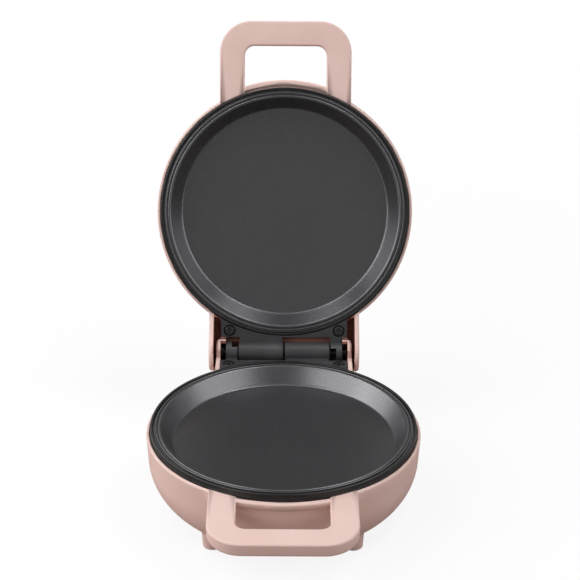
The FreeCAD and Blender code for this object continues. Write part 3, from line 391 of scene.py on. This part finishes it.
@dataclass(frozen=True)
class CharcoalCoat:
    """Non-stick coating of the pans: charcoal with a fine pebbled grain and pale flecks."""

    name: str = "charcoal_non_stick"
    colour: Colour = (0.140, 0.1405, 0.147)
    fleck: Colour = (0.30, 0.303, 0.312)
    metal_share: float = 0.85

    def make(self) -> bpy.types.Material:
        """Build the material."""
        to = Finisher(self.name)
        pebbles = to.noise(1500.0, 3.0, 0.65)
        flecks = to.grains(1900.0)
        cloud = to.noise(26.0, 3.0, 0.5)
        mask = (1.0 - flecks.band(0.10, 0.50)) * pebbles.band(0.35, 0.70)
        to.feed("Base Color", to.mix(mask * 0.5, self.colour, self.fleck))
        to.feed("Metallic", self.metal_share)
        to.feed("Roughness", 0.21 + pebbles * 0.12 + cloud * 0.05)
        to.bump(pebbles + flecks * 0.3, 0.00010, 0.55)
        return to.material


@dataclass(frozen=True)
class BlackMoulding:
    """Satin black moulded plastic of the rim rings, brackets and small fittings.

    Attributes:
        colour: the colour.
        roughness: the mean roughness.
        grain: features of the surface texture to the metre.
        depth: the texture's height in metres.
    """

    name: str
    colour: Colour = (0.017, 0.0172, 0.018)
    roughness: float = 0.34
    grain: float = 1600.0
    depth: float = 0.00003

    def make(self) -> bpy.types.Material:
        """Build the material."""
        to = Finisher(self.name)
        grain = to.noise(self.grain, 2.0, 0.6)
        cloud = to.noise(60.0, 3.0)
        pale = tuple(min(1.0, c * 1.55 + 0.004) for c in self.colour)
        to.feed("Base Color", to.mix(cloud.band(0.35, 0.8), self.colour, pale))
        to.feed("Roughness", self.roughness + grain * 0.12 + (cloud - 0.5) * 0.10)
        to.feed("Specular IOR Level", 0.5)
        to.bump(grain, self.depth, 0.6)
        return to.material


@dataclass(frozen=True)
class Metal:
    """A bare or plated metal.

    Attributes:
        colour: the metal's colour.
        roughness: the mean roughness.
        tarnish: the colour of heat stain or handling.
        stain: how much of the stain shows.
    """

    name: str
    colour: Colour
    roughness: float
    tarnish: Colour = (0.20, 0.17, 0.14)
    stain: float = 0.2

    def make(self) -> bpy.types.Material:
        """Build the material."""
        to = Finisher(self.name)
        cloud = to.noise(95.0, 4.0)
        fine = to.noise(2200.0, 2.0)
        to.feed("Base Color", to.mix(cloud.band(0.45, 0.8) * self.stain, self.colour, self.tarnish))
        to.feed("Metallic", 1.0)
        to.feed("Roughness", self.roughness + fine * 0.10 + cloud * 0.10)
        to.bump(fine, 0.00001, 0.4)
        return to.material


@dataclass(frozen=True)
class DullSolid:
    """A plain non-metal such as rubber, ceramic, braid or phenolic.

    Attributes:
        colour: the colour.
        shade: the darker colour that the grain and cloud patterns mix in.
        roughness: the mean roughness.
        grain: features of the texture to the metre.
        depth: the texture's height in metres.
    """

    name: str
    colour: Colour
    shade: Colour
    roughness: float
    grain: float = 900.0
    depth: float = 0.00005

    def make(self) -> bpy.types.Material:
        """Build the material."""
        to = Finisher(self.name)
        grain = to.noise(self.grain, 3.0)
        cloud = to.noise(70.0, 3.0)
        to.feed("Base Color", to.mix((grain * 0.6 + cloud * 0.4).band(0.3, 0.7), self.shade, self.colour))
        to.feed("Roughness", self.roughness + (grain - 0.5) * 0.15)
        to.bump(grain, self.depth, 0.6)
        return to.material


@dataclass(frozen=True)
class ClearRed:
    """Tinted window over the indicator lamp."""

    name: str = "clear_red_window"
    colour: Colour = (0.52, 0.035, 0.02)

    def make(self) -> bpy.types.Material:
        """Build the material."""
        to = Finisher(self.name)
        cloud = to.noise(300.0, 2.0)
        deep = tuple(c * 0.6 for c in self.colour)
        to.feed("Base Color", to.mix(cloud.band(0.3, 0.7), deep, self.colour))
        to.feed("Roughness", 0.10 + cloud * 0.08)
        to.feed("Transmission Weight", 0.35)
        to.feed("Coat Weight", 0.4)
        return to.material


class Wardrobe:
    """Makes each finish once and gives it out by the record's slot name."""

    def __init__(self, layout: Layout) -> None:
        """List the finishes by slot, and the shells' by slot and half."""
        # Painted shade: the rooms round the hinge where the shells' pink is darkened as if in shade.
        base_painted_shade = PaintedHingeShade(layout, Half.BASE, 35.92, 6.5, 12.0, 6.5)
        lid_painted_shade = PaintedHingeShade(layout, Half.LID, 39.95, 8.4, 22.0, 8.0)
        self.finishes: dict[str, Any] = {
            "housing_base": SoftShell("soft_matte_base", base_painted_shade),
            "housing_lid": SoftShell("soft_matte_lid", lid_painted_shade),
            "pan": CharcoalCoat(),
            "ring": BlackMoulding("rim_ring_black", (0.009, 0.0088, 0.009), 0.26, 1400.0, 0.00003),
            "bracket": BlackMoulding("bracket_black", (0.030, 0.0305, 0.0325), 0.40, 1900.0, 0.00004),
            "screw": BlackMoulding("black_zinc_screw", (0.022, 0.022, 0.023), 0.28, 2500.0, 0.00002),
            "inner_screw": Metal("zinc_screw", (0.62, 0.62, 0.60), 0.28),
            # Painted shade: the pin's steel is made near black, with dark stain, so that it reads as shade in the ears'
            # pockets.
            "pin": Metal("steel_pin", (0.045, 0.045, 0.047), 0.48, (0.02, 0.02, 0.02), 0.5),
            "heater": Metal("heater_sheath", (0.30, 0.28, 0.26), 0.42, (0.10, 0.07, 0.06), 0.8),
            "reflector": Metal("bright_sheet", (0.80, 0.80, 0.79), 0.22, (0.45, 0.38, 0.28), 0.5),
            "rubber": DullSolid("foot_rubber", (0.030, 0.030, 0.031), (0.018, 0.018, 0.018), 0.72),
            "gland": DullSolid("bushing_rubber", (0.026, 0.026, 0.027), (0.015, 0.015, 0.015), 0.60),
            "thermostat": DullSolid("phenolic", (0.020, 0.017, 0.015), (0.010, 0.009, 0.008), 0.38),
            "fuse": DullSolid("glass_sleeve", (0.74, 0.70, 0.60), (0.55, 0.51, 0.42), 0.80, 2600.0, 0.00010),
            "terminal": DullSolid("ceramic_block", (0.78, 0.76, 0.70), (0.66, 0.63, 0.57), 0.55),
            "lead": DullSolid("lead_braid", (0.72, 0.70, 0.64), (0.50, 0.48, 0.43), 0.75, 2600.0, 0.00010),
            "lens": ClearRed(),
            "lamp": DullSolid("lamp_holder", (0.76, 0.75, 0.72), (0.66, 0.65, 0.62), 0.50),
        }
        self.made: dict[str, bpy.types.Material] = {}

    def get(self, slot: str, half: Half) -> bpy.types.Material:
        """Give a slot's material, made at its first use.

        Args:
            slot: the record's name of the finish.
            half: the half that wears it.

        Returns:
            The material.
        """
        key = slot if slot in self.finishes else f"{slot}_{half.value}"
        if key not in self.made:
            self.made[key] = self.finishes[key].make()
        return self.made[key]


def finish_mesh(mesh: bmesh.types.BMesh, name: str, matrix: Matrix, slot: str, half: Half,
                wardrobe: Wardrobe, sharp: float = 32.0) -> bpy.types.Object:
    """Turn a bmesh into an object at the origin, placed in its mesh.

    Args:
        mesh: the shape, which is freed.
        name: the piece's name.
        matrix: from the shape's own measure to the frame.
        slot: the record's material slot.
        half: the half that it rides on.
        wardrobe: where the material comes from.
        sharp: edges over this many degrees stay sharp.

    Returns:
        The linked object.
    """
    bmesh.ops.transform(mesh, matrix=matrix, verts=mesh.verts)
    if matrix.determinant() < 0:
        bmesh.ops.reverse_faces(mesh, faces=mesh.faces)
    data = bpy.data.meshes.new(name)
    mesh.to_mesh(data)
    mesh.free()
    for face in data.polygons:
        face.use_smooth = True
    data.set_sharp_from_angle(angle=math.radians(sharp))
    data.materials.append(wardrobe.get(slot, half))
    made = bpy.data.objects.new(name, data)
    bpy.context.scene.collection.objects.link(made)
    return made


def turned_ring(points: Sequence[tuple[float, float, float]], steps: int, closed: bool = True) -> bmesh.types.BMesh:
    """Turn an outline about the Z axis and round its corners.

    Args:
        points: radius, height and rounding of each corner, in millimetres.
        steps: how many faces go round.
        closed: whether the outline's last corner joins its first.

    Returns:
        A closed mesh with its normals outwards.
    """
    mesh = bmesh.new()
    outline = [mesh.verts.new((r, 0, z)) for r, z, _ in points]
    edges = [mesh.edges.new((a, b)) for a, b in zip(outline, outline[1:])]
    if closed:
        edges.append(mesh.edges.new((outline[-1], outline[0])))
    bmesh.ops.spin(mesh, geom=outline + edges, cent=(0, 0, 0), axis=(0, 0, 1), angle=math.tau,
                   steps=steps, use_merge=True)
    bmesh.ops.remove_doubles(mesh, verts=mesh.verts, dist=1e-5)
    bmesh.ops.recalc_face_normals(mesh, faces=mesh.faces)
    for radius, height, rounding in points:
        if rounding > 0 and radius > 0:
            ring = [e for e in mesh.edges if all(
                abs(v.co.z - height) < 1e-4 and abs(v.co.xy.length - radius) < 1e-3 for v in e.verts)]
            bmesh.ops.bevel(mesh, geom=ring, offset=rounding, segments=4, affect="EDGES", profile=0.5,
                            material=-1, clamp_overlap=True)
    bmesh.ops.recalc_face_normals(mesh, faces=mesh.faces)
    return mesh


def merged_copy(node: bpy.types.Object, flat: float = 0.4) -> bmesh.types.BMesh:
    """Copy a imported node's triangles and join them into clean faces.

    Args:
        node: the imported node's object.
        flat: faces within this many degrees of each other become one.

    Returns:
        The joined shape, in metres and in the frame.
    """
    mesh = bmesh.new()
    mesh.from_mesh(node.data)
    bmesh.ops.remove_doubles(mesh, verts=mesh.verts, dist=2e-6)
    bmesh.ops.dissolve_limit(mesh, angle_limit=math.radians(flat), verts=mesh.verts, edges=mesh.edges,
                             use_dissolve_boundaries=False)
    return mesh


def soften_edges(piece: bpy.types.Object, width: float, segments: int = 2, angle: float = 35.0) -> None:
    """Round a piece's sharp edges so that they catch the light.

    Args:
        piece: the object.
        width: the rounding in millimetres.
        segments: faces across the rounding.
        angle: edges over this many degrees are rounded.
    """
    bevel = piece.modifiers.new("edge_rounding", "BEVEL")
    bevel.width = width * MM
    bevel.segments = segments
    bevel.limit_method = "ANGLE"
    bevel.angle_limit = math.radians(angle)
    bevel.use_clamp_overlap = True
    bevel.harden_normals = False
    even = piece.modifiers.new("even_shading", "WEIGHTED_NORMAL")
    even.keep_sharp = True


@dataclass
class CookingPan:
    """A cast pan: raised ridge and bead round the mouth, sloping wall, flat floor.

    Attributes:
        half: which half it is in.
        floor_depth: rim to cooking floor.
        mouth: radius of the mouth.
        floor_radius: radius of the flat floor.
    """

    half: Half
    rim: float = -0.25
    floor_depth: float = 9.35
    mouth: float = 63.85
    floor_radius: float = 58.6
    steps: int = 192

    def corners(self) -> list[tuple[float, float, float]]:
        """List the outline's corners: radius, height and rounding."""
        rim = self.rim
        floor = rim - self.floor_depth
        return [
            (68.30, rim - 2.30, 0.0),
            (68.30, rim - 1.20, 0.15),
            (67.45, rim - 1.25, 0.15),
            (67.30, rim - 0.12, 0.22),
            (66.55, rim - 0.10, 0.22),
            (66.35, rim - 0.95, 0.12),
            (65.95, rim - 0.95, 0.12),
            (65.75, rim - 0.12, 0.40),
            (64.45, rim - 0.14, 0.45),
            (self.mouth, rim - 1.00, 0.35),
            (self.floor_radius + 0.45, floor + 0.75, 0.70),
            (self.floor_radius - 0.35, floor, 0.45),
            (18.0, floor, 0.0),
            (0.0, floor, 0.0),
            (0.0, floor - 2.5, 0.0),
            (57.8, floor - 2.5, 0.8),
            (60.4, floor - 0.6, 0.8),
            (65.6, rim - 2.30, 0.0),
        ]

    def build(self, layout: Layout, wardrobe: Wardrobe) -> list[bpy.types.Object]:
        """Make the pan and put it on its body.

        Args:
            layout: where the halves stand.
            wardrobe: the finishes.

        Returns:
            The new piece.
        """
        mesh = turned_ring(self.corners(), self.steps, closed=True)
        pan = finish_mesh(mesh, f"{self.half.value}_pan_cast", layout.matrix(self.half), "pan", self.half, wardrobe, 60.0)
        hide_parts(f"{self.half.value}_pan")
        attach(pan, self.half.value)
        return [pan]


@dataclass
class RimRing:
    """The black ring round a pan, with its spigot, hooks and arms inside the shell."""

    half: Half
    rim: float = -0.25
    outside: float = 70.0
    land: float = 1.5
    steps: int = 192
    hook_angles: tuple[float, ...] = (0, 60, 120, 180, 240, 300)
    arm_angles: tuple[float, ...] = (30, 150, 270)

    def corners(self) -> list[tuple[float, float, float]]:
        """List the outline's corners: radius, height and rounding."""
        rim = self.rim
        inner = self.outside - self.land
        return [
            (self.outside, rim - 4.85, 0.0),
            (self.outside, rim - 2.9, 0.25),
            (self.outside - 0.12, rim - 2.75, 0.0),
            (self.outside - 0.12, rim, 0.42),
            (inner, rim - 0.10, 0.28),
            (inner, rim - 2.35, 0.0),
            (66.2, rim - 2.35, 0.0),
            (66.2, rim - 9.75, 0.3),
            (68.7, rim - 9.75, 0.3),
            (68.7, rim - 4.85, 0.0),
        ]

    def limb(self, mesh: bmesh.types.BMesh, angle: float, low: Sequence[float], high: Sequence[float]) -> None:
        """Add a block that stands at an angle round the ring.

        Args:
            mesh: the ring.
            angle: where it stands, in degrees.
            low: least radius, side and height.
            high: greatest radius, side and height.
        """
        made = bmesh.ops.create_cube(mesh, size=1.0)["verts"]
        size = [b - a for a, b in zip(low, high)]
        middle = Vector([(a + b) / 2 for a, b in zip(low, high)])
        bmesh.ops.scale(mesh, vec=size, verts=made)
        bmesh.ops.translate(mesh, vec=middle, verts=made)
        bmesh.ops.rotate(mesh, cent=(0, 0, 0), matrix=Matrix.Rotation(math.radians(angle), 3, "Z"), verts=made)

    def build(self, layout: Layout, wardrobe: Wardrobe) -> list[bpy.types.Object]:
        """Make the ring and put it on its body.

        Args:
            layout: where the halves stand.
            wardrobe: the finishes.

        Returns:
            The new piece.
        """
        mesh = turned_ring(self.corners(), self.steps, closed=True)
        for angle in self.hook_angles:
            self.limb(mesh, angle, (66.5, -4.5, -14.6), (67.5, 4.5, -9.5))
        for angle in self.arm_angles:
            self.limb(mesh, angle, (64.4, -4.5, -20.7), (67.0, 4.5, -7.0))
            self.limb(mesh, angle, (51.0, -4.5, -20.7), (64.5, 4.5, -18.75))
        ring = finish_mesh(mesh, f"{self.half.value}_rim_moulding", layout.matrix(self.half), "ring", self.half,
                           wardrobe, 50.0)
        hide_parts(f"{self.half.value}_rim_ring")
        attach(ring, self.half.value)
        return [ring]


@dataclass
class FairedNode:
    """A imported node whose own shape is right: its copy gets joined faces and rounded edges.

    Attributes:
        node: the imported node.
        half: the half that it rides on.
        slot: its finish.
        rounding: edge rounding in millimetres, or 0 for none.
        sharp: edges over this many degrees stay sharp.
    """

    node: str
    half: Half
    slot: str
    rounding: float = 0.25
    sharp: float = 30.0
    segments: int = 2

    def build(self, frame: dict[str, Any], wardrobe: Wardrobe) -> list[bpy.types.Object]:
        """Make the copy and put it on its body.

        Args:
            wardrobe: the finishes.

        Returns:
            The new piece.
        """
        mesh = merged_copy(frame["nodes"][self.node])
        piece = finish_mesh(mesh, f"{self.node}_faired", Matrix.Identity(4), self.slot, self.half, wardrobe,
                            self.sharp)
        if self.rounding > 0:
            soften_edges(piece, self.rounding, self.segments)
        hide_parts(self.node)
        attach(piece, self.half.value)
        return [piece]


@dataclass
class Studio:
    """The pale floor, the soft light and the camera.

    Attributes:
        middle: the pan's middle on the floor, which the lights look at.
    """

    middle: Vector
    room: float = 0.05
    near_white: float = 0.86
    floor_sheen: float = 0.05
    mirrored_floor: Colour = (0.24, 0.20, 0.19)
    white_behind: tuple[float, float] = (-0.5, 0.2)
    gloss_front: float = 0.22
    gloss_back: float = 0.50
    camera_place: tuple[float, float, float] = (-0.00033, -0.74956, 0.43159)
    camera_turn: tuple[float, float, float] = (25.3, -0.24, 0.46)

    def surface(self, name: str, bounce: Colour) -> bpy.types.Material:
        """Make the floor's material: white to the camera, greyer near the cooker where its shadow lies.

        Args:
            name: the material's name.
            bounce: the colour that lights the object.

        Returns:
            The material.
        """
        to = Finisher(name)
        path = to.node("ShaderNodeLightPath")
        camera = to.tap(path, "Is Camera Ray")
        lit = to.mix(to.tap(path, "Is Glossy Ray"), bounce, self.mirrored_floor)
        to.feed("Base Color", to.mix(camera, lit, (1.0, 1.0, 1.0)))
        to.feed("Roughness", 0.9)
        to.feed("Specular IOR Level", 0.1)
        glow = to.node("ShaderNodeEmission", Color=(1, 1, 1, 1), Strength=1.0)
        reach = to.node("ShaderNodeVectorMath", {"operation": "LENGTH"}, Vector=to.place())
        far = to.tap(reach, "Value").band(0.17, 0.62)
        seen = camera + to.tap(path, "Is Transmission Ray") + to.tap(path, "Is Glossy Ray") * self.floor_sheen
        blend = to.node("ShaderNodeMixShader")
        to.tree.links.new((seen * (self.near_white + far * (1.0 - self.near_white))).socket, blend.inputs[0])
        to.tree.links.new(to.shader.outputs[0], blend.inputs[1])
        to.tree.links.new(glow.outputs[0], blend.inputs[2])
        to.tree.links.new(blend.outputs[0], to.output.inputs["Surface"])
        return to.material

    def floor(self) -> bpy.types.Object:
        """Make the floor that the cooker stands on."""
        mesh = bmesh.new()
        bmesh.ops.create_grid(mesh, x_segments=1, y_segments=1, size=6.0)
        data = bpy.data.meshes.new("floor")
        mesh.to_mesh(data)
        mesh.free()
        data.materials.append(self.surface("pale_floor", (0.38, 0.29, 0.26)))
        made = bpy.data.objects.new("floor", data)
        bpy.context.scene.collection.objects.link(made)
        return made

    def world(self) -> None:
        """Surround the cooker with soft white, seen as plain white by the camera."""
        world = bpy.data.worlds.new("white_room")
        bpy.context.scene.world = world
        world.use_nodes = True
        tree = world.node_tree
        ground = tree.nodes["Background"]
        path = tree.nodes.new("ShaderNodeLightPath").outputs
        seen = Tap(tree, path["Is Camera Ray"]) + Tap(tree, path["Is Transmission Ray"])
        ways = tree.nodes.new("ShaderNodeSeparateXYZ")
        tree.links.new(tree.nodes.new("ShaderNodeTexCoord").outputs["Generated"], ways.inputs[0])
        behind = Tap(tree, ways.outputs["Y"]).band(*self.white_behind)
        mirrored = Tap(tree, path["Is Glossy Ray"]) * (behind * (self.gloss_back - self.gloss_front) + self.gloss_front)
        strength = seen * (1.0 - self.room) + mirrored + self.room
        ground.inputs["Color"].default_value = (1, 1, 1, 1)
        tree.links.new(strength.socket, ground.inputs["Strength"])

    def lamp(self, name: str, turn: float, height: float, size: tuple[float, float], power: float) -> None:
        """Hang a soft box that faces the cooker.

        Args:
            name: the lamp's name.
            turn: degrees round from the front, positive to the right.
            height: degrees above the cooker.
            size: its width and height in metres.
            power: its power in watts.
        """
        light = bpy.data.lights.new(name, "AREA")
        light.shape = "RECTANGLE"
        light.size, light.size_y = size
        light.energy = power
        made = bpy.data.objects.new(name, light)
        round_by, up_by = math.radians(turn), math.radians(height)
        way = Vector((math.sin(round_by) * math.cos(up_by), -math.cos(round_by) * math.cos(up_by), math.sin(up_by)))
        made.location = self.middle + Vector((0, 0, 0.07)) + way * 1.25
        made.rotation_mode = "QUATERNION"
        made.rotation_quaternion = (-way).to_track_quat("-Z", "Y")
        bpy.context.scene.collection.objects.link(made)

    def camera(self) -> None:
        """Put the camera where the photograph was taken from."""
        pitch, azimuth, roll = (math.radians(v) for v in self.camera_turn)
        back = Vector((math.sin(azimuth) * math.cos(pitch), -math.cos(azimuth) * math.cos(pitch), math.sin(pitch)))
        right = (-back).cross(Vector((0, 0, 1))).normalized()
        up = right.cross(-back)
        level = Matrix((right, up, back)).transposed()
        data = bpy.data.cameras.new("camera")
        data.sensor_width = 36.0
        data.lens = 101.91
        data.clip_start = 0.01
        data.clip_end = 50.0
        made = bpy.data.objects.new("camera", data)
        place = Vector(self.camera_place) + Vector((0, self.middle.y, 0.0475))
        made.matrix_world = Matrix.Translation(place) @ (level @ Matrix.Rotation(roll, 3, "Z")).to_4x4()
        bpy.context.scene.collection.objects.link(made)
        bpy.context.scene.camera = made

    def build(self) -> None:
        """Make the floor, the surroundings, the lamps and the camera."""
        self.floor()
        self.world()
        self.lamp("left_front_box", -61, 28, (1.4, 0.9), 9.0)
        self.lamp("left_back_box", -110, 22, (1.1, 0.9), 7.0)
        self.lamp("right_box", 68, 28, (1.3, 0.9), 6.5)
        self.lamp("left_high_box", -90, 66, (0.5, 0.5), 3.8)
        self.lamp("right_high_box", 90, 66, (0.5, 0.5), 5.0)
        self.camera()
        settings = bpy.context.scene.view_settings
        settings.view_transform = "Standard"


class Cooker:
    """Builds the whole cooker, sub-assembly by sub-assembly."""

    def __init__(self, frame: dict[str, Any]) -> None:
        """Keep the frame, the layout and the finishes."""
        self.frame = frame
        self.layout = Layout.from_frame(frame)
        self.wardrobe = Wardrobe(self.layout)

    def dress_nodes(self) -> None:
        """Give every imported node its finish."""
        lid_nodes = self.frame["record"]["behaviour"]["bodies"][Half.LID.value]
        for part in self.frame["record"]["subparts"]:
            node = self.frame["nodes"][part["node"]]
            half = Half.LID if part["node"] in lid_nodes else Half.BASE
            node.data.materials.clear()
            node.data.materials.append(self.wardrobe.get(part["material_slot"], half))

    def build(self) -> None:
        """Make the pieces of both halves."""
        self.dress_nodes()
        for half in Half:
            name = half.value
            pieces: list[Any] = CookingPan(half).build(self.layout, self.wardrobe)
            pieces += RimRing(half).build(self.layout, self.wardrobe)
            faired = [
                FairedNode(f"{name}_housing", half, "housing", 0.0, 34.0),
                FairedNode(f"{name}_handle_cover", half, "housing", 0.2),
                FairedNode(f"{name}_hinge_bracket", half, "bracket", 0.22),
                FairedNode(f"{name}_bracket_screws", half, "screw", 0.08),
                FairedNode(f"{name}_handle_screws", half, "screw", 0.08),
            ]
            if half is Half.BASE:
                faired += [
                    FairedNode("foot_pads", half, "rubber", 0.35),
                    FairedNode("cord_gland", half, "gland", 0.2),
                    FairedNode("hinge_pin", half, "pin", 0.15),
                ]
            else:
                faired.append(FairedNode("indicator_lens", half, "lens", 0.0))
            for part in faired:
                pieces += part.build(self.frame, self.wardrobe)
            for piece in pieces:
                log.info("%s: %d faces", piece.name, len(piece.data.polygons))


def main() -> None:
    """Load the frame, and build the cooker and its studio."""
    logging.basicConfig(level=logging.INFO, format="%(message)s")
    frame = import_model()
    cooker = Cooker(frame)
    cooker.build()
    hinge = cooker.layout.hinge
    Studio(Vector((0, hinge.y - HINGE_BEHIND_PAN * MM, 0))).build()


if __name__ == "__main__":
    main()
